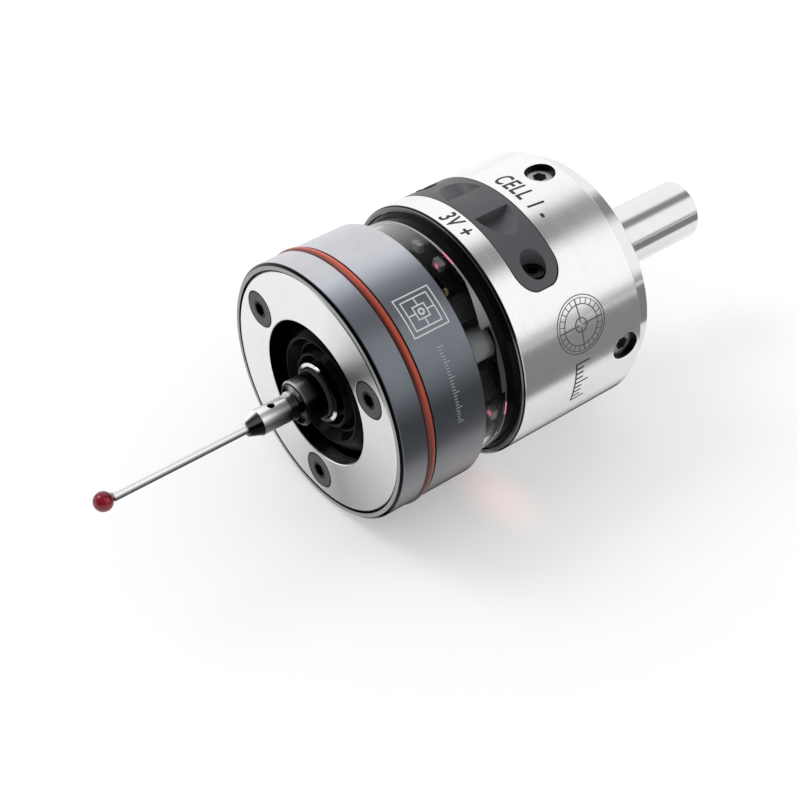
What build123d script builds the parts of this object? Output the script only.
"""Spindle touch probe, lying on its side, in millimetres.

The probe's axis is the X axis. x = 0 is the shoulder that the shank grows from, the shank points to +X
and the stylus to -X. +Z is the side of the battery cover. Outlines of turned pieces are (x, radius).
"""
import os
from math import cos, radians, sin, sqrt

from build123d import *

os.makedirs("parts", exist_ok=True)

# Driving dimensions: lengths of the shell
shank_length = 25.8
flange_proud = 3.25
window_show = 7.2
ring_length = 15.85
ring_chamfer = 0.5
edge_chamfer = 0.45

# Driving dimensions: front ring and face plate
plate_thickness = 2.5
plate_opening_radius = 11.85
plate_gap = 0.3
plate_edge = 0.2
ring_rim = 1.1
ring_flange_length = 4.5
ring_wall = 2.8
screw_web = 0.47
oring_section_radius = 0.75
oring_crest = 0.25
oring_depth = 5.55

# Driving dimensions: stylus
ball_radius = 1.5
ball_reach = 36.5
ball_spigot_radius = 0.4
stem_radius = 0.75
stem_chamfer = 0.15
stem_grip = 3.5
collar_radius = 2.05
collar_front_reach = 12.45
collar_cone_length = 2.1
collar_cone_step = 0.05
collar_cone_wall = 0.5
collar_neck_radius = 1.5
collar_neck_length = 0.4
collar_rim_proud = 0.25
collar_rim_length = 0.3
cross_hole_radius = 0.6
cross_hole_wall = 0.5
stud_radius = 1.0
stud_depth = 5.8

# Driving dimensions: stylus hub
nose_radius = 3.65
nose_reach = 3.75
nose_chamfer = 0.35
nose_rim = 0.2
nose_boss_wall = 0.2
nose_recess_depth = 0.6
neck_step = 0.45
hub_sphere_radius = 6.9
hub_rear_reach = 2.5
pivot_ball_radius = 2.0

# Driving dimensions: sensing mechanism
push_travel = 2.5
tilt_limit = 5.0
pin_radius = 0.8
pin_root = 3.45
contact_ball_radius = 1.5
wall_thickness = 2.0
seat_lip = 0.8
seat_land = 1.1
seat_wall = 2.9
seat_cone_length = 1.1
tube_wall = 1.0
carrier_ledge = 1.4
carrier_web = 1.2
carrier_rear_reach = 2.1

# Driving dimensions: diaphragm, with its folds counted outwards from the nose
diaphragm_overlap = 0.45
diaphragm_skin = 0.6
diaphragm_crests = (2.2, 4.92)
diaphragm_troughs = (1.05, 3.55)
crest_depth = 0.9
trough_depth = 2.9
fold_half_width = 0.1
diaphragm_neck_wall = 0.3
diaphragm_neck_proud = 0.2
clamp_wire_radius = 0.45
clamp_depth = 0.7

# Driving dimensions: return spring
spring_radius = 4.3
spring_wire_radius = 0.3
spring_turns = 5
cap_flange_thickness = 0.8
cap_guide_length = 1.5
cup_edge_reach = 1.4
cup_rim = 0.13
retainer_thickness = 1.6
retainer_proud = 0.2

# Driving dimensions: window and electronics
window_wall = 1.1
window_seat = 1.2
window_chamfer = 0.2
lip_wall = 0.9
gasket_show = 1.7
gasket_grip = 1.2
gasket_bulge = 0.5
shoulder_depth = 3.2
board_thickness = 1.2
board_ahead = 0.2
light_inset = 1.2
light_radial = 1.4
light_around = 1.9
light_height = 0.9
component_inset = 2.1

# Driving dimensions: battery
battery_radius = 10.0
battery_thickness = 3.2
battery_cap_inset = 1.4
battery_cap_step = 0.25
battery_edge = 0.3
battery_lift = 1.0
contact_plate_width = 8.0
contact_plate_height = 6.0
lead_width = 2.0
lead_thickness = 0.3
plus_lead_inset = 0.8
minus_lead_gap = 0.85
minus_lead_room = 1.3
tray_wall = 1.2
tray_front_wall = 1.7
tray_rear_wall = 1.9

# Driving dimensions: battery cover
cover_width = 7.8
cover_end_radius = 3.0
cover_end_wall = 2.95
cover_floor_wall = 0.6
cover_screw_from_slot = 2.35
cover_screw_seat = 1.4
cover_thread_depth = 2.9
land_half_width = 3.0
scoop_radius = 3.5
scoop_depth = 2.0
scoop_reach = 5.0
scoop_rise = 0.64
slot_room = 0.5
seal_width = 1.0
seal_depth = 0.7
seal_inset = 0.3
seal_inner_corner = 0.4
seal_outer_corner = 1.2

# Driving dimensions: rear body and shank
shank_radius = 5.0
shank_chamfer = 0.5
flange_step = 2.0
flange_chamfer = 0.3
web_thickness = 5.5
steel_spigot_radius = 14.0
steel_spigot_length = 6.5

# Driving dimensions: fasteners
m3_radius = 1.5
m3_countersunk_head = 3.0
m3_countersunk_hex = 2.0
m3_countersunk_socket = 1.2
m3_cap_head_radius = 2.75
m3_cap_head_length = 3.0
m3_cap_hex = 2.5
m3_cap_socket = 1.5
grub_radius = 2.0
grub_hex = 2.0
grub_socket = 2.0
grub_sink = 0.9
grub_chamfer = 0.5
grub_from_body_rear = 3.5
m2_radius = 1.0
m2_head_radius = 1.75
m2_head_length = 1.2
m2_hex = 1.5
spacer_radius = 2.5
face_thread_bite = 3.75
face_angles = (30, 150, 270)
shank_screw_circle = 8.5
shank_screw_length = 7.0
shank_screw_seat = 3.2
pin_angles = (90, 210, 330)
quarter_angles = (0, 90, 180, 270)

# Clearances
slip = 0.1
thread_slack = 0.03
running = 0.03
move_gap = 0.3
hole_clearance = 0.1
seat_gap = 0.1
groove_slack = 0.08
rim_gap = 0.2
neck_room = 1.3
hub_side_room = 1.1
pin_gap = 0.2
pin_ball_gap = 0.06
pin_side_gap = 0.45
pin_end_gap = 0.6
ball_hub_gap = 0.9
tube_gap = 0.7
end_gap = 0.1
glue_gap = 0.02
lead_slack = 0.15
cover_slack = 0.15
cover_seat_gap = 0.05
seal_slack = 0.05
head_slack = 0.15
centring_play = 0.6

# Length of the rear body, from the front wall of the battery tray to the shank's spigot
half_pocket = battery_thickness / 2 + lead_thickness + slip
cover_from_body_front = shoulder_depth - retainer_proud + retainer_thickness + tray_front_wall + half_pocket
body_length = cover_from_body_front + half_pocket + tray_rear_wall + web_thickness + steel_spigot_length
face_screw_length = ring_length + window_show + shoulder_depth + face_thread_bite

# Stations along the axis
body_rear_x = -flange_proud
body_front_x = body_rear_x - body_length
ring_rear_x = body_front_x - window_show
ring_front_x = ring_rear_x - ring_length
plate_rear_x = ring_front_x + plate_thickness
ring_flange_rear_x = plate_rear_x + ring_flange_length
diaphragm_radius = plate_opening_radius + diaphragm_overlap
rim_swing = diaphragm_radius * sin(radians(tilt_limit))
diaphragm_rim_x = plate_rear_x + rim_swing + move_gap
diaphragm_rim_rear_x = diaphragm_rim_x + diaphragm_skin
wall_x = diaphragm_rim_rear_x + push_travel + rim_swing + move_gap
wall_rear_x = wall_x + wall_thickness
seat_x = wall_x + seat_lip
cone_start_x = seat_x + seat_land
ball_x = ring_front_x - ball_reach
nose_x = ring_front_x - nose_reach
window_rear_x = body_front_x - gasket_show
gasket_seat_x = body_front_x + gasket_grip
body_shoulder_x = body_front_x + shoulder_depth
board_x = window_rear_x - board_ahead
board_rear_x = board_x + board_thickness
web_rear_x = body_rear_x - steel_spigot_length
web_x = web_rear_x - web_thickness

# Radii of the mechanism, from the hub outwards
neck_radius = nose_radius - neck_step
seat_bore_radius = neck_radius + neck_room
seat_outer_radius = seat_bore_radius + seat_wall
cone_offset = (hub_sphere_radius + seat_gap) * sqrt(2)
pivot_x = cone_start_x - seat_bore_radius + cone_offset
contact_ball_circle = hub_sphere_radius + ball_hub_gap + contact_ball_radius
pin_reach = contact_ball_circle + contact_ball_radius
tube_bore_radius = pin_reach + pin_end_gap
tube_radius = tube_bore_radius + tube_wall
throat_radius = tube_bore_radius - carrier_ledge

# Radii of the shell: the face screws clear the ring's bore, and their spacers the housing's tube
ring_bore_radius = diaphragm_radius + (pivot_x - diaphragm_rim_x) * sin(radians(tilt_limit)) + rim_gap
face_hole_radius = m3_radius + hole_clearance
circle_round_bore = ring_bore_radius + face_hole_radius + screw_web
circle_round_tube = tube_radius + tube_gap + spacer_radius
face_screw_circle = max(circle_round_bore, circle_round_tube)
body_radius = face_screw_circle + spacer_radius + slip + ring_wall
plate_radius = body_radius - ring_rim - plate_gap
flange_radius = body_radius - flange_step
lip_radius = body_radius - lip_wall
window_radius = body_radius - ring_wall + window_wall
window_inner_radius = window_radius - window_wall
inner_bore_radius = battery_radius + battery_lift + tray_wall

# Battery slot and the cover over it
cover_x = body_front_x + cover_from_body_front
cover_floor_z = inner_bore_radius + cover_floor_wall
slot_half_width = battery_radius + move_gap
slot_half_length = battery_thickness / 2 + slot_room
cover_screw_y = slot_half_width + cover_screw_from_slot
cover_half_length = cover_screw_y + cover_end_wall


def turn(outline, mode=Mode.ADD):
    """Adds or cuts the body that a closed outline of (x, radius) points sweeps about the axis."""
    with BuildSketch(Plane.XZ) as profile:
        with BuildLine():
            Polyline(*outline, close=True)
        make_face()
    revolve(profile.sketch, axis=Axis.X, mode=mode)


def drill(x, length, radius, circle, angles, mode=Mode.SUBTRACT):
    """Cuts or adds round rods along the axis, from x, on a circle of that radius."""
    with BuildSketch(Plane.YZ.offset(x)) as section:
        for angle in angles:
            with Locations((circle * cos(radians(angle)), circle * sin(radians(angle)))):
                Circle(radius)
    extrude(section.sketch, amount=length, mode=mode)


def radial_plane(x, angle, distance):
    """A plane at x that faces outwards, with angle counted from +Y towards +Z."""
    outwards = (0, cos(radians(angle)), sin(radians(angle)))
    origin = (x, distance * outwards[1], distance * outwards[2])
    return Plane(origin=origin, x_dir=(1, 0, 0), z_dir=outwards)


# Front ring: the anodised shell that carries the face plate and the mechanism
groove_radius = body_radius + oring_crest - 2 * oring_section_radius
groove_half_width = oring_section_radius + groove_slack
oring_x = ring_front_x + oring_depth
with BuildPart() as front_ring:
    turn([
        (ring_front_x, plate_radius + plate_gap),
        (ring_front_x, body_radius - ring_chamfer),
        (ring_front_x + ring_chamfer, body_radius),
        (oring_x - groove_half_width, body_radius),
        (oring_x - groove_half_width, groove_radius),
        (oring_x + groove_half_width, groove_radius),
        (oring_x + groove_half_width, body_radius),
        (ring_rear_x - edge_chamfer / 2, body_radius),
        (ring_rear_x, body_radius - edge_chamfer / 2),
        (ring_rear_x, window_radius + slip),
        (ring_rear_x - window_seat, window_radius + slip),
        (ring_rear_x - window_seat, body_radius - ring_wall),
        (ring_flange_rear_x, body_radius - ring_wall),
        (ring_flange_rear_x, ring_bore_radius),
        (plate_rear_x, ring_bore_radius),
        (plate_rear_x, plate_radius + plate_gap),
    ])
    drill(plate_rear_x, ring_flange_length, face_hole_radius, face_screw_circle, face_angles)
front_ring.part.label = "front_ring"
export_step(front_ring.part, "parts/front_ring.step")

# Ring seal: the round rubber cord in the ring's groove
with BuildPart() as ring_seal:
    with BuildSketch(Plane.XZ):
        with Locations((oring_x, body_radius + oring_crest - oring_section_radius)):
            Circle(oring_section_radius)
    revolve(axis=Axis.X)
ring_seal.part.label = "ring_seal"
export_step(ring_seal.part, "parts/ring_seal.step")

# Face plate, with countersinks for its three screws
with BuildPart() as face_plate:
    turn([
        (ring_front_x, plate_opening_radius + plate_edge),
        (ring_front_x, plate_radius - plate_edge),
        (ring_front_x + plate_edge, plate_radius),
        (plate_rear_x, plate_radius),
        (plate_rear_x, plate_opening_radius),
        (ring_front_x + plate_edge, plate_opening_radius),
    ])
    for angle in face_angles:
        y, z = face_screw_circle * cos(radians(angle)), face_screw_circle * sin(radians(angle))
        with Locations(Location((ring_front_x, y, z), (0, -90, 0))):
            CounterSinkHole(
                radius=face_hole_radius,
                counter_sink_radius=m3_countersunk_head + slip,
                depth=plate_thickness,
            )
face_plate.part.label = "face_plate"
export_step(face_plate.part, "parts/face_plate.step")

# Face screws: they clamp the plate, the ring, the spacers and the board to the rear body
countersink_depth = m3_countersunk_head - m3_radius
with BuildPart() as face_screws:
    for angle in face_angles:
        y, z = face_screw_circle * cos(radians(angle)), face_screw_circle * sin(radians(angle))
        with BuildSketch(Plane(origin=(0, y, z), x_dir=(1, 0, 0), z_dir=(0, -1, 0))):
            with BuildLine():
                Polyline(
                    (ring_front_x, 0),
                    (ring_front_x, m3_countersunk_head),
                    (ring_front_x + countersink_depth, m3_radius),
                    (ring_front_x + face_screw_length, m3_radius),
                    (ring_front_x + face_screw_length, 0),
                    close=True,
                )
            make_face()
        revolve(axis=Axis((0, y, z), (1, 0, 0)))
        with BuildSketch(Plane.YZ.offset(ring_front_x)):
            with Locations((y, z)):
                RegularPolygon(m3_countersunk_hex / sqrt(3), 6)
        extrude(amount=m3_countersunk_socket, mode=Mode.SUBTRACT)
face_screws.part.label = "face_screws"
export_step(face_screws.part, "parts/face_screws.step")

# Mechanism housing: the black turned part inside the ring, with the wall that the hub seats against
housing_flange_radius = body_radius - ring_wall - slip
housing_flange_length = 2.0
housing_flange_rear_x = ring_flange_rear_x + housing_flange_length
carrier_slot_x = pivot_x - (pin_reach * sin(radians(tilt_limit)) + pin_radius + pin_gap)
carrier_x = carrier_slot_x - carrier_web
carrier_rear_x = pivot_x + carrier_rear_reach
with BuildPart() as mechanism_housing:
    turn([
        (wall_x, seat_bore_radius + slip),
        (wall_x, ring_bore_radius),
        (ring_flange_rear_x, ring_bore_radius),
        (ring_flange_rear_x, housing_flange_radius),
        (housing_flange_rear_x, housing_flange_radius),
        (housing_flange_rear_x, tube_radius),
        (board_x, tube_radius),
        (board_x, tube_bore_radius),
        (carrier_x, tube_bore_radius),
        (carrier_x, throat_radius),
        (wall_rear_x, throat_radius),
        (wall_rear_x, seat_outer_radius + slip),
        (seat_x, seat_outer_radius + slip),
        (seat_x, seat_bore_radius + slip),
    ])
    drill(ring_flange_rear_x, housing_flange_length, face_hole_radius, face_screw_circle, face_angles)
mechanism_housing.part.label = "mechanism_housing"
export_step(mechanism_housing.part, "parts/mechanism_housing.step")

# Seat ring: a hardened cone, tangent at 45 degrees to the hub's sphere with the seat gap between them
seat_rear_x = cone_start_x + seat_cone_length
with BuildPart() as seat_ring:
    turn([
        (seat_x, seat_bore_radius),
        (seat_x, seat_outer_radius),
        (seat_rear_x, seat_outer_radius),
        (seat_rear_x, seat_bore_radius + seat_rear_x - cone_start_x),
        (cone_start_x, seat_bore_radius),
    ])
seat_ring.part.label = "seat_ring"
export_step(seat_ring.part, "parts/seat_ring.step")

# Ball carrier: a ring with three slots for the hub's pins and a pair of ball pockets at each slot
ball_side = pin_radius + contact_ball_radius + pin_ball_gap
carrier_radius = tube_bore_radius - slip
carrier_bore_radius = hub_sphere_radius + hub_side_room
pin_slot_width = 2 * (pin_radius + pin_side_gap)


def contact_ball_centres():
    """Centres of the six balls, a pair astride each pin."""
    for angle in pin_angles:
        for side in (-ball_side, ball_side):
            c, s = cos(radians(angle)), sin(radians(angle))
            yield (pivot_x, contact_ball_circle * c - side * s, contact_ball_circle * s + side * c)


with BuildPart() as ball_carrier:
    turn([
        (carrier_x, carrier_bore_radius),
        (carrier_x, carrier_radius),
        (carrier_rear_x, carrier_radius),
        (carrier_rear_x, carrier_bore_radius),
    ])
    for angle in pin_angles:
        with BuildSketch(Plane.YZ.offset(carrier_slot_x)):
            with Locations(Location((0, 0), angle)):
                with Locations((tube_bore_radius / 2, 0)):
                    Rectangle(tube_bore_radius, pin_slot_width)
        extrude(amount=carrier_rear_x - carrier_slot_x, mode=Mode.SUBTRACT)
    with Locations(*contact_ball_centres()):
        Sphere(contact_ball_radius + running, mode=Mode.SUBTRACT)
ball_carrier.part.label = "ball_carrier"
export_step(ball_carrier.part, "parts/ball_carrier.step")

# Contact balls: six steel balls, two at each pin
with BuildPart() as contact_balls:
    with Locations(*contact_ball_centres()):
        Sphere(contact_ball_radius)
contact_balls.part.label = "contact_balls"
export_step(contact_balls.part, "parts/contact_balls.step")

# Stylus hub: nose, neck, the sphere that seats in the cone, and a socket for the pivot ball
trough_x = ring_front_x + trough_depth
hub_rear_x = pivot_x + hub_rear_reach
hub_rear_radius = sqrt(hub_sphere_radius**2 - hub_rear_reach**2)
hub_bore_radius = pivot_ball_radius + move_gap
socket_radius = pivot_ball_radius + running
neck_front_x = trough_x + diaphragm_skin + move_gap
neck_rear_x = pivot_x - sqrt(hub_sphere_radius**2 - neck_radius**2)
stud_bore_x = nose_x + stud_depth + end_gap
nose_boss_radius = collar_neck_radius + nose_boss_wall
nose_recess_radius = nose_radius - nose_chamfer - nose_rim
with BuildPart() as stylus_hub:
    with BuildSketch(Plane.XZ):
        with BuildLine():
            Polyline(
                (stud_bore_x, 0),
                (stud_bore_x, stud_radius + thread_slack),
                (nose_x, stud_radius + thread_slack),
                (nose_x, nose_boss_radius),
                (nose_x + nose_recess_depth, nose_boss_radius),
                (nose_x + nose_recess_depth, nose_recess_radius),
                (nose_x, nose_recess_radius),
                (nose_x, nose_radius - nose_chamfer),
                (nose_x + nose_chamfer, nose_radius),
                (neck_front_x, nose_radius),
                (neck_front_x, neck_radius),
                (neck_rear_x, neck_radius),
            )
            ThreePointArc(
                (neck_rear_x, neck_radius),
                (pivot_x, hub_sphere_radius),
                (hub_rear_x, hub_rear_radius),
            )
            Polyline(
                (hub_rear_x, hub_rear_radius),
                (hub_rear_x, hub_bore_radius),
                (pivot_x, hub_bore_radius),
                (pivot_x, socket_radius),
            )
            ThreePointArc(
                (pivot_x, socket_radius),
                (pivot_x - socket_radius * cos(radians(45)), socket_radius * sin(radians(45))),
                (pivot_x - socket_radius, 0),
            )
            Line((pivot_x - socket_radius, 0), (stud_bore_x, 0))
        make_face()
    revolve(axis=Axis.X)
    for angle in pin_angles:
        with BuildSketch(radial_plane(pivot_x, angle, pin_root - end_gap)):
            Circle(pin_radius + thread_slack)
        extrude(amount=hub_sphere_radius, mode=Mode.SUBTRACT)
stylus_hub.part.label = "stylus_hub"
export_step(stylus_hub.part, "parts/stylus_hub.step")

# Hub pins: three steel pins pressed into the hub
with BuildPart() as hub_pins:
    for angle in pin_angles:
        with BuildSketch(radial_plane(pivot_x, angle, pin_root)):
            Circle(pin_radius)
        extrude(amount=pin_reach - pin_root)
hub_pins.part.label = "hub_pins"
export_step(hub_pins.part, "parts/hub_pins.step")

# Dust diaphragm: the ridged rubber disc that the hub carries behind the face plate's opening
collar_inner = nose_radius + thread_slack
collar_outer = collar_inner + diaphragm_neck_wall
collar_start_x = ring_front_x - diaphragm_neck_proud
crest_x = ring_front_x + crest_depth
crest_rear_x = crest_x + 1.2 * diaphragm_skin
inner_crest_rear_x = crest_x + 1.5 * diaphragm_skin
trough_rear_x = trough_x + diaphragm_skin
first_crest, second_crest = (nose_radius + step for step in diaphragm_crests)
first_trough, second_trough = (nose_radius + step for step in diaphragm_troughs)
front_roundings = [0.1, 0.1, 0.2, 0.25, 0.3, 0.3, 0.35, 0.1]
rear_roundings = [0.1, 0.2, 0.05, 0.05, 0.15, 0.2, 0.1]
with BuildPart() as dust_diaphragm:
    with BuildSketch(Plane.XZ):
        with BuildLine():
            FilletPolyline(
                (collar_start_x, collar_inner),
                (collar_start_x, collar_outer),
                (trough_x, collar_outer),
                (trough_x, first_trough),
                (crest_x, first_crest),
                (trough_x, second_trough),
                (crest_x, second_crest),
                (diaphragm_rim_x, diaphragm_radius),
                (diaphragm_rim_rear_x, diaphragm_radius),
                (crest_rear_x, second_crest + fold_half_width),
                (trough_rear_x, second_trough + fold_half_width),
                (trough_rear_x, second_trough - fold_half_width),
                (inner_crest_rear_x, first_crest),
                (trough_rear_x, first_trough),
                (trough_rear_x, collar_inner),
                radius=front_roundings + rear_roundings,
                close=True,
            )
        make_face()
    revolve(axis=Axis.X)
dust_diaphragm.part.label = "dust_diaphragm"
export_step(dust_diaphragm.part, "parts/dust_diaphragm.step")

# Clamp ring: the polished wire ring that grips the diaphragm's collar on the hub
with BuildPart() as diaphragm_clamp:
    with BuildSketch(Plane.XZ):
        with Locations((ring_front_x + clamp_depth, collar_outer + clamp_wire_radius + running)):
            Circle(clamp_wire_radius)
    revolve(axis=Axis.X)
diaphragm_clamp.part.label = "diaphragm_clamp"
export_step(diaphragm_clamp.part, "parts/diaphragm_clamp.step")

# Stylus collar: the threaded steel end of the stylus, with its cross hole and the bore for the stem
collar_rim_rear_x = nose_x - collar_neck_length
collar_rim_x = collar_rim_rear_x - collar_rim_length
collar_rim_radius = collar_radius + collar_rim_proud
collar_front_x = ring_front_x - collar_front_reach
cone_x = collar_front_x + collar_cone_length
stem_bore_x = collar_front_x + stem_grip
cross_hole_x = stem_bore_x + cross_hole_wall + cross_hole_radius
with BuildPart() as stylus_collar:
    turn([
        (nose_x + stud_depth, 0),
        (nose_x + stud_depth, stud_radius),
        (nose_x, stud_radius),
        (nose_x, collar_neck_radius),
        (collar_rim_rear_x, collar_neck_radius),
        (collar_rim_rear_x, collar_rim_radius),
        (collar_rim_x, collar_rim_radius),
        (collar_rim_x, collar_radius),
        (cone_x, collar_radius),
        (cone_x, collar_radius - collar_cone_step),
        (collar_front_x, stem_radius + collar_cone_wall),
        (collar_front_x, stem_radius + running),
        (stem_bore_x, stem_radius + running),
        (stem_bore_x, 0),
    ])
    with BuildSketch(Plane.XY.offset(-collar_rim_radius)):
        with Locations((cross_hole_x, 0)):
            Circle(cross_hole_radius)
    extrude(amount=2 * collar_rim_radius, mode=Mode.SUBTRACT)
stylus_collar.part.label = "stylus_collar"
export_step(stylus_collar.part, "parts/stylus_collar.step")

# Stylus stem, with a thin spigot that the ball is glued on
ball_bore_radius = ball_spigot_radius + running
ball_mouth_x = ball_x + sqrt(ball_radius**2 - ball_bore_radius**2)
stem_end_x = ball_mouth_x + glue_gap
stem_rear_x = stem_bore_x - glue_gap
ball_spigot_x = ball_x + 2 * end_gap
with BuildPart() as stylus_stem:
    turn([
        (ball_spigot_x, 0),
        (ball_spigot_x, ball_spigot_radius),
        (stem_end_x, ball_spigot_radius),
        (stem_end_x + stem_chamfer, stem_radius),
        (stem_rear_x, stem_radius),
        (stem_rear_x, 0),
    ])
stylus_stem.part.label = "stylus_stem"
export_step(stylus_stem.part, "parts/stylus_stem.step")

# Ruby ball, drilled for the spigot
with BuildPart() as ruby_ball:
    with Locations((ball_x, 0, 0)):
        Sphere(ball_radius)
    drill(ball_spigot_x - end_gap, ball_radius, ball_bore_radius, 0, (0,))
ruby_ball.part.label = "ruby_ball"
export_step(ruby_ball.part, "parts/ruby_ball.step")

# Pivot ball: it lets the hub tilt on the spring cap
with BuildPart() as pivot_ball:
    with Locations((pivot_x, 0, 0)):
        Sphere(pivot_ball_radius)
pivot_ball.part.label = "pivot_ball"
export_step(pivot_ball.part, "parts/pivot_ball.step")

# Spring cap: a cup on the pivot ball, a stem, and the flange that the spring pushes
cup_radius = pivot_ball_radius + running
cup_edge_x = pivot_x + cup_edge_reach
cup_edge_radius = sqrt(cup_radius**2 - cup_edge_reach**2)
cap_stem_radius = cup_edge_radius + cup_rim
cap_flange_x = hub_rear_x + hub_sphere_radius * sin(radians(tilt_limit)) + move_gap
cap_flange_rear_x = cap_flange_x + cap_flange_thickness
cap_flange_radius = spring_radius + 3 * spring_wire_radius
guide_radius = spring_radius - 3 * spring_wire_radius
cap_guide_end_x = cap_flange_rear_x + cap_guide_length
with BuildPart() as spring_cap:
    with BuildSketch(Plane.XZ):
        with BuildLine():
            ThreePointArc(
                (pivot_x + cup_radius, 0),
                (pivot_x + cup_radius * cos(radians(20)), cup_radius * sin(radians(20))),
                (cup_edge_x, cup_edge_radius),
            )
            Polyline(
                (cup_edge_x, cup_edge_radius),
                (cup_edge_x, cap_stem_radius),
                (cap_flange_x, cap_stem_radius),
                (cap_flange_x, cap_flange_radius),
                (cap_flange_rear_x, cap_flange_radius),
                (cap_flange_rear_x, guide_radius),
                (cap_guide_end_x, guide_radius),
                (cap_guide_end_x, 0),
                (pivot_x + cup_radius, 0),
            )
        make_face()
    revolve(axis=Axis.X)
spring_cap.part.label = "spring_cap"
export_step(spring_cap.part, "parts/spring_cap.step")

# Spring retainer: the disc behind the spring, with slots for the two battery leads
insert_radius = inner_bore_radius - slip
plus_lead_y = battery_radius - plus_lead_inset
minus_lead_y = -(battery_radius + minus_lead_gap + lead_thickness / 2)
retainer_x = body_shoulder_x - retainer_proud
retainer_rear_x = retainer_x + retainer_thickness


def lead_slot(x, length, y, inwards=0.0):
    """Cuts the slot that a battery lead runs through, along the axis from x."""
    width = lead_thickness + 2 * lead_slack + inwards
    centre = y - inwards / 2 if y > 0 else y + inwards / 2
    with BuildSketch(Plane.YZ.offset(x)) as section:
        with Locations((centre, 0)):
            Rectangle(width, lead_width + 2 * lead_slack)
    extrude(section.sketch, amount=length, mode=Mode.SUBTRACT)


with BuildPart() as spring_retainer:
    turn([
        (retainer_x - cap_guide_length, 0),
        (retainer_x - cap_guide_length, guide_radius),
        (retainer_x, guide_radius),
        (retainer_x, insert_radius),
        (retainer_rear_x, insert_radius),
        (retainer_rear_x, 0),
    ])
    for lead_y in (plus_lead_y, minus_lead_y):
        lead_slot(retainer_x, retainer_thickness, lead_y)
spring_retainer.part.label = "spring_retainer"
export_step(spring_retainer.part, "parts/spring_retainer.step")

# Return spring: an open coil between the cap's flange and the retainer
spring_start_x = cap_flange_rear_x + spring_wire_radius
spring_height = retainer_x - spring_wire_radius - spring_start_x
with BuildPart() as return_spring:
    with BuildLine():
        coil = Helix(
            pitch=spring_height / spring_turns,
            height=spring_height,
            radius=spring_radius,
            center=(spring_start_x, 0, 0),
            direction=(1, 0, 0),
        )
    with BuildSketch(Plane(origin=coil @ 0, z_dir=coil % 0)):
        Circle(spring_wire_radius)
    sweep(path=coil)
return_spring.part.label = "return_spring"
export_step(return_spring.part, "parts/return_spring.step")

# Light window: the clear ring between the front ring and the rear body
with BuildPart() as light_window:
    turn([
        (ring_rear_x - window_seat, window_inner_radius),
        (ring_rear_x - window_seat, window_radius),
        (window_rear_x - window_chamfer, window_radius),
        (window_rear_x, window_radius - window_chamfer),
        (window_rear_x, window_inner_radius),
    ])
light_window.part.label = "light_window"
export_step(light_window.part, "parts/light_window.step")

# Body gasket: the black rubber ring between the window and the rear body's lip
gasket_bulge_x = body_front_x - gasket_bulge
gasket_lip_x = body_front_x + slip
with BuildPart() as body_gasket:
    turn([
        (window_rear_x, window_inner_radius + slip),
        (window_rear_x, window_radius - window_chamfer),
        (gasket_bulge_x, window_radius + slip),
        (gasket_lip_x, lip_radius - slip),
        (gasket_seat_x, lip_radius - slip),
        (gasket_seat_x, window_inner_radius + slip),
    ])
body_gasket.part.label = "body_gasket"
export_step(body_gasket.part, "parts/body_gasket.step")

# Spacers: sleeves round the face screws, in front of the board and behind it


def spacers(x, length):
    """Three sleeves round the face screws, from x."""
    drill(x, length, spacer_radius, face_screw_circle, face_angles, Mode.ADD)
    drill(x, length, face_hole_radius, face_screw_circle, face_angles)


with BuildPart() as front_spacers:
    spacers(housing_flange_rear_x, board_x - housing_flange_rear_x)
front_spacers.part.label = "front_spacers"
export_step(front_spacers.part, "parts/front_spacers.step")

with BuildPart() as rear_spacers:
    spacers(board_rear_x, body_shoulder_x - board_rear_x)
rear_spacers.part.label = "rear_spacers"
export_step(rear_spacers.part, "parts/rear_spacers.step")

# Circuit board: a disc with a hole for the hub and the spring
board_radius = window_inner_radius - move_gap
board_hole_radius = hub_sphere_radius + hub_side_room
with BuildPart() as circuit_board:
    turn([
        (board_x, board_hole_radius),
        (board_x, board_radius),
        (board_rear_x, board_radius),
        (board_rear_x, board_hole_radius),
    ])
    drill(board_x, board_thickness, face_hole_radius, face_screw_circle, face_angles)
circuit_board.part.label = "circuit_board"
export_step(circuit_board.part, "parts/circuit_board.step")


def board_block(angle, circle, radial, around, height):
    """Adds a block on the board's front face; angle is counted from +Z towards -Y."""
    with BuildSketch(Plane.YZ.offset(board_x)) as section:
        with Locations(Location((0, 0), angle + 90)):
            with Locations((circle, 0)):
                Rectangle(radial, around)
    extrude(section.sketch, amount=-height)


# Status lights: four small lamps near the board's edge, behind the window
light_angles = (13, 103, 193, 283)
light_circle = board_radius - light_inset
with BuildPart() as status_lights:
    for angle in light_angles:
        board_block(angle, light_circle, light_radial, light_around, light_height)
status_lights.part.label = "status_lights"
export_step(status_lights.part, "parts/status_lights.step")

# Board components: coil, chips and relays as (angle, circle, radial size, size around, height)
component_circle = board_radius - component_inset
component_rows = (
    (-4, light_circle, 1.4, 1.8, 0.9),
    (24, component_circle, 3.0, 3.0, 2.6),
    (39.5, component_circle, 3.2, 4.2, 5.4),
    (80, component_circle, 3.2, 5.4, 5.4),
    (122, component_circle, 2.6, 4.4, 2.2),
    (150, component_circle, 3.0, 5.0, 3.2),
    (210, component_circle, 3.0, 4.0, 2.4),
    (236, component_circle, 2.4, 5.4, 4.2),
    (262, light_circle, 1.4, 1.8, 0.9),
    (322, component_circle, 3.0, 5.0, 3.6),
)
with BuildPart() as board_components:
    for row in component_rows:
        board_block(*row)
board_components.part.label = "board_components"
export_step(board_components.part, "parts/board_components.step")

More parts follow.
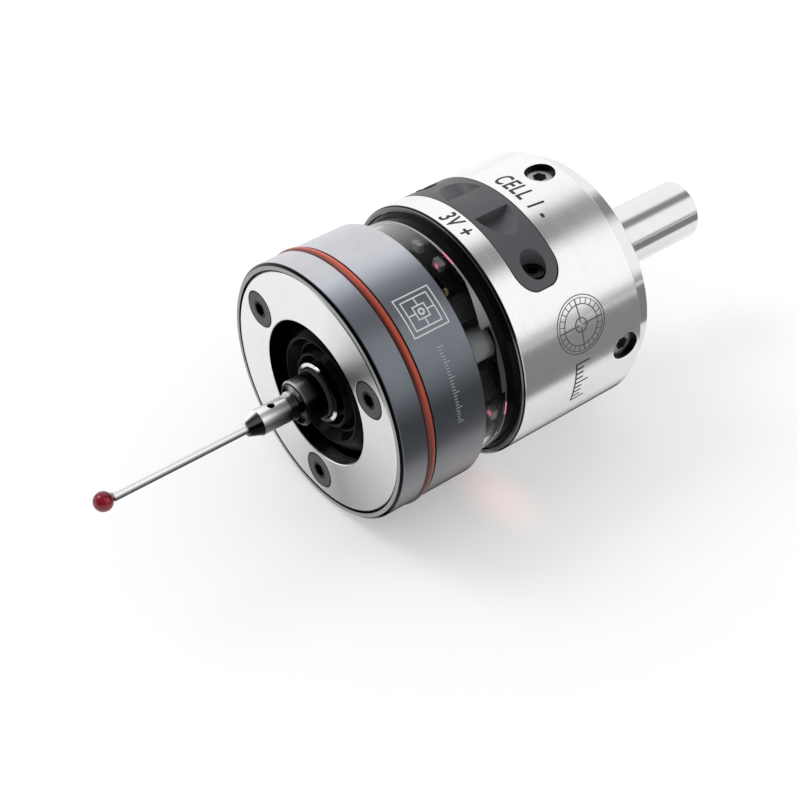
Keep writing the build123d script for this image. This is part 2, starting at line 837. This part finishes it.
# Rear body: the polished cup that holds the battery and the shank
spigot_pocket_radius = steel_spigot_radius + centring_play
face_thread_length = ring_front_x + face_screw_length + move_gap - body_shoulder_x
cover_thread_z = cover_floor_z - cover_thread_depth
grub_x = body_rear_x - grub_from_body_rear
grub_end_radius = steel_spigot_radius + thread_slack
grub_length = body_radius - grub_sink - grub_end_radius
shank_screw_seat_x = web_x + shank_screw_seat
seal_inner_x = 2 * (slot_half_length + seal_inset)
seal_inner_y = 2 * slot_half_width + seal_inset
cover_screw_places = ((cover_x, cover_screw_y), (cover_x, -cover_screw_y))


def cover_plan(x_size, y_half, corner):
    """The rounded oblong of the battery cover, seen from above."""
    with Locations((cover_x, 0)):
        RectangleRounded(x_size, 2 * y_half, corner)


def seal_plan(slack):
    """The plan of the seal or its groove: a rounded frame round the battery slot, smaller by the slack."""
    outer_x = seal_inner_x + 2 * seal_width - 2 * slack
    outer_y = seal_inner_y + 2 * seal_width - 2 * slack
    inner_x = seal_inner_x + 2 * slack
    inner_y = seal_inner_y + 2 * slack
    with Locations((cover_x, 0)):
        RectangleRounded(outer_x, outer_y, seal_outer_corner - slack)
        RectangleRounded(inner_x, inner_y, seal_inner_corner + slack, mode=Mode.SUBTRACT)


with BuildPart() as rear_body:
    turn([
        (body_front_x, lip_radius),
        (body_front_x, body_radius - edge_chamfer),
        (body_front_x + edge_chamfer, body_radius),
        (body_rear_x - edge_chamfer, body_radius),
        (body_rear_x, body_radius - edge_chamfer),
        (body_rear_x, spigot_pocket_radius),
        (web_rear_x, spigot_pocket_radius),
        (web_rear_x, 0),
        (web_x, 0),
        (web_x, inner_bore_radius),
        (body_shoulder_x, inner_bore_radius),
        (body_shoulder_x, body_radius - ring_wall),
        (gasket_seat_x, body_radius - ring_wall),
        (gasket_seat_x, lip_radius),
    ])
    with BuildSketch(Plane.XY.offset(cover_floor_z)):
        cover_plan(cover_width + 2 * cover_slack, cover_half_length + cover_slack, cover_end_radius)
    extrude(amount=body_radius, mode=Mode.SUBTRACT)
    with BuildSketch(Plane.XY):
        with Locations((cover_x, 0)):
            Rectangle(2 * slot_half_length, 2 * slot_half_width)
    extrude(amount=body_radius, mode=Mode.SUBTRACT)
    with BuildSketch(Plane.XY.offset(cover_floor_z - seal_depth)):
        seal_plan(0)
    extrude(amount=seal_depth, mode=Mode.SUBTRACT)
    with BuildSketch(Plane.XY.offset(cover_thread_z)):
        with Locations(*cover_screw_places):
            Circle(m2_radius + thread_slack)
    extrude(amount=body_radius, mode=Mode.SUBTRACT)
    drill(body_shoulder_x, face_thread_length, m3_radius + thread_slack, face_screw_circle, face_angles)
    drill(web_x, shank_screw_seat, m3_cap_head_radius + head_slack, shank_screw_circle, pin_angles)
    drill(web_x, web_thickness, m3_radius + centring_play, shank_screw_circle, pin_angles)
    for angle in quarter_angles:
        with BuildSketch(radial_plane(grub_x, angle, steel_spigot_radius)):
            Circle(grub_radius + thread_slack)
        extrude(amount=body_radius, mode=Mode.SUBTRACT)
        with BuildSketch(radial_plane(grub_x, angle, body_radius - grub_chamfer)):
            Circle(grub_radius + thread_slack)
        with BuildSketch(radial_plane(grub_x, angle, body_radius)):
            Circle(grub_radius + grub_chamfer)
        loft(mode=Mode.SUBTRACT)
rear_body.part.label = "rear_body"
export_step(rear_body.part, "parts/rear_body.step")

# Battery tray: the moulded insert that the cell slides into from above
pocket_radius = battery_radius + cover_slack
cell_front_x = cover_x - battery_thickness / 2
pocket_x = cover_x - half_pocket
pocket_rear_x = cover_x + half_pocket
with BuildPart() as battery_tray:
    drill(retainer_rear_x, web_x - retainer_rear_x, insert_radius, 0, (0,), Mode.ADD)
    with BuildSketch(Plane.YZ.offset(pocket_x)):
        with Locations((0, battery_lift)):
            Circle(pocket_radius)
        with Locations((0, battery_lift + insert_radius / 2)):
            Rectangle(2 * pocket_radius, insert_radius)
    extrude(amount=pocket_rear_x - pocket_x, mode=Mode.SUBTRACT)
    lead_slot(retainer_rear_x, pocket_x - retainer_rear_x, plus_lead_y)
    lead_slot(retainer_rear_x, pocket_rear_x - retainer_rear_x, minus_lead_y, minus_lead_room)
battery_tray.part.label = "battery_tray"
export_step(battery_tray.part, "parts/battery_tray.step")

# Battery: a lithium coin cell, with its can to the front and its cap to the rear
with BuildPart() as battery:
    with BuildSketch(Plane.YZ.offset(cell_front_x)):
        with Locations((0, battery_lift)):
            Circle(battery_radius)
    extrude(amount=battery_thickness - battery_cap_step)
    fillet(battery.faces().sort_by(Axis.X)[0].edges(), battery_edge)
    with BuildSketch(Plane.YZ.offset(cell_front_x + battery_thickness - battery_cap_step)):
        with Locations((0, battery_lift)):
            Circle(battery_radius - battery_cap_inset)
    extrude(amount=battery_cap_step)
battery.part.label = "battery"
export_step(battery.part, "parts/battery.step")


def contact_plate(x, lead_y):
    """A flat spring contact on one face of the cell, with a lead that runs forward to the board."""
    outer_edge = lead_y + (lead_thickness / 2 if lead_y > 0 else -lead_thickness / 2)
    with BuildSketch(Plane.YZ.offset(x)) as plate:
        with Locations((outer_edge / 2, 0)):
            Rectangle(abs(outer_edge), lead_width)
        Rectangle(contact_plate_width, contact_plate_height)
    extrude(plate.sketch, amount=lead_thickness)
    with BuildSketch(Plane.YZ.offset(board_rear_x)) as lead:
        with Locations((lead_y, 0)):
            Rectangle(lead_thickness, lead_width)
    extrude(lead.sketch, amount=x + lead_thickness - board_rear_x)


# Battery contacts, one on each face of the cell
with BuildPart() as battery_contact_positive:
    contact_plate(cell_front_x - lead_thickness, plus_lead_y)
battery_contact_positive.part.label = "battery_contact_positive"
export_step(battery_contact_positive.part, "parts/battery_contact_positive.step")

with BuildPart() as battery_contact_negative:
    contact_plate(cell_front_x + battery_thickness, minus_lead_y)
battery_contact_negative.part.label = "battery_contact_negative"
export_step(battery_contact_negative.part, "parts/battery_contact_negative.step")

# Cover seal: the flat rubber frame in the pocket's floor
with BuildPart() as cover_seal:
    with BuildSketch(Plane.XY.offset(cover_floor_z - seal_depth)):
        seal_plan(seal_slack)
    extrude(amount=seal_depth)
cover_seal.part.label = "cover_seal"
export_step(cover_seal.part, "parts/cover_seal.step")

# Battery cover: a moulded plug, flush with the body, with a raised land between two finger scoops
cover_bottom_z = cover_floor_z + cover_seat_gap
cover_screw_seat_z = cover_floor_z + cover_screw_seat
counterbore_radius = m2_head_radius + head_slack + slip
scoop_z = sqrt(body_radius**2 - land_half_width**2) - scoop_depth + scoop_radius
with BuildPart() as battery_cover:
    drill(cover_x - cover_width, 2 * cover_width, body_radius, 0, (0,), Mode.ADD)
    with BuildSketch(Plane.XY.offset(cover_bottom_z)):
        cover_plan(cover_width, cover_half_length, cover_end_radius)
    extrude(amount=body_radius, mode=Mode.INTERSECT)
    for side in (-1, 1):
        land_face = Plane(
            origin=(cover_x, side * land_half_width, scoop_z), x_dir=(1, 0, 0), z_dir=(0, side, 0)
        )
        with BuildSketch(land_face):
            Circle(scoop_radius)
        extrude(amount=body_radius, dir=(0, side * scoop_reach, scoop_rise), mode=Mode.SUBTRACT)
    with BuildSketch(Plane.XY.offset(cover_screw_seat_z)):
        with Locations(*cover_screw_places):
            Circle(counterbore_radius)
    extrude(amount=body_radius, mode=Mode.SUBTRACT)
    with BuildSketch(Plane.XY.offset(cover_bottom_z)):
        with Locations(*cover_screw_places):
            Circle(m2_radius + hole_clearance)
    extrude(amount=body_radius, mode=Mode.SUBTRACT)
battery_cover.part.label = "battery_cover"
export_step(battery_cover.part, "parts/battery_cover.step")

# Cover screws: two small cap screws deep in the cover, parallel to Z
cover_screw_end_z = cover_thread_z + end_gap
with BuildPart() as cover_screws:
    with BuildSketch(Plane.XY.offset(cover_screw_end_z)):
        with Locations(*cover_screw_places):
            Circle(m2_radius)
    extrude(amount=cover_screw_seat_z - cover_screw_end_z)
    with BuildSketch(Plane.XY.offset(cover_screw_seat_z)):
        with Locations(*cover_screw_places):
            Circle(m2_head_radius)
            RegularPolygon(m2_hex / sqrt(3), 6, mode=Mode.SUBTRACT)
    extrude(amount=m2_head_length)
cover_screws.part.label = "cover_screws"
export_step(cover_screws.part, "parts/cover_screws.step")

# Shank: the turned steel adapter, with its flange and the spigot that the centring screws hold
with BuildPart() as shank:
    turn([
        (web_rear_x, 0),
        (web_rear_x, steel_spigot_radius),
        (body_rear_x, steel_spigot_radius),
        (body_rear_x, flange_radius - flange_chamfer),
        (body_rear_x + flange_chamfer, flange_radius),
        (-flange_chamfer, flange_radius),
        (0, flange_radius - flange_chamfer),
        (0, shank_radius),
        (shank_length - shank_chamfer, shank_radius),
        (shank_length, shank_radius - shank_chamfer),
        (shank_length, 0),
    ])
    shank_hole_length = shank_screw_seat_x + shank_screw_length + move_gap - web_rear_x
    drill(web_rear_x, shank_hole_length, m3_radius + thread_slack, shank_screw_circle, pin_angles)
shank.part.label = "shank"
export_step(shank.part, "parts/shank.step")

# Shank screws: three cap screws that pull the spigot against the web
head_x = shank_screw_seat_x - m3_cap_head_length
with BuildPart() as shank_screws:
    drill(shank_screw_seat_x, shank_screw_length, m3_radius, shank_screw_circle, pin_angles, Mode.ADD)
    drill(head_x, m3_cap_head_length, m3_cap_head_radius, shank_screw_circle, pin_angles, Mode.ADD)
    with BuildSketch(Plane.YZ.offset(head_x)):
        with PolarLocations(shank_screw_circle, 3, start_angle=pin_angles[0]):
            RegularPolygon(m3_cap_hex / sqrt(3), 6)
    extrude(amount=m3_cap_socket, mode=Mode.SUBTRACT)
shank_screws.part.label = "shank_screws"
export_step(shank_screws.part, "parts/shank_screws.step")

# Centring screws: four set screws in the rear body, with hexagon sockets
with BuildPart() as centring_screws:
    for angle in quarter_angles:
        with BuildSketch(radial_plane(grub_x, angle, grub_end_radius)):
            Circle(grub_radius)
        extrude(amount=grub_length)
        with BuildSketch(radial_plane(grub_x, angle, grub_end_radius + grub_length)):
            RegularPolygon(grub_hex / sqrt(3), 6)
        extrude(amount=-grub_socket, mode=Mode.SUBTRACT)
centring_screws.part.label = "centring_screws"
export_step(centring_screws.part, "parts/centring_screws.step")
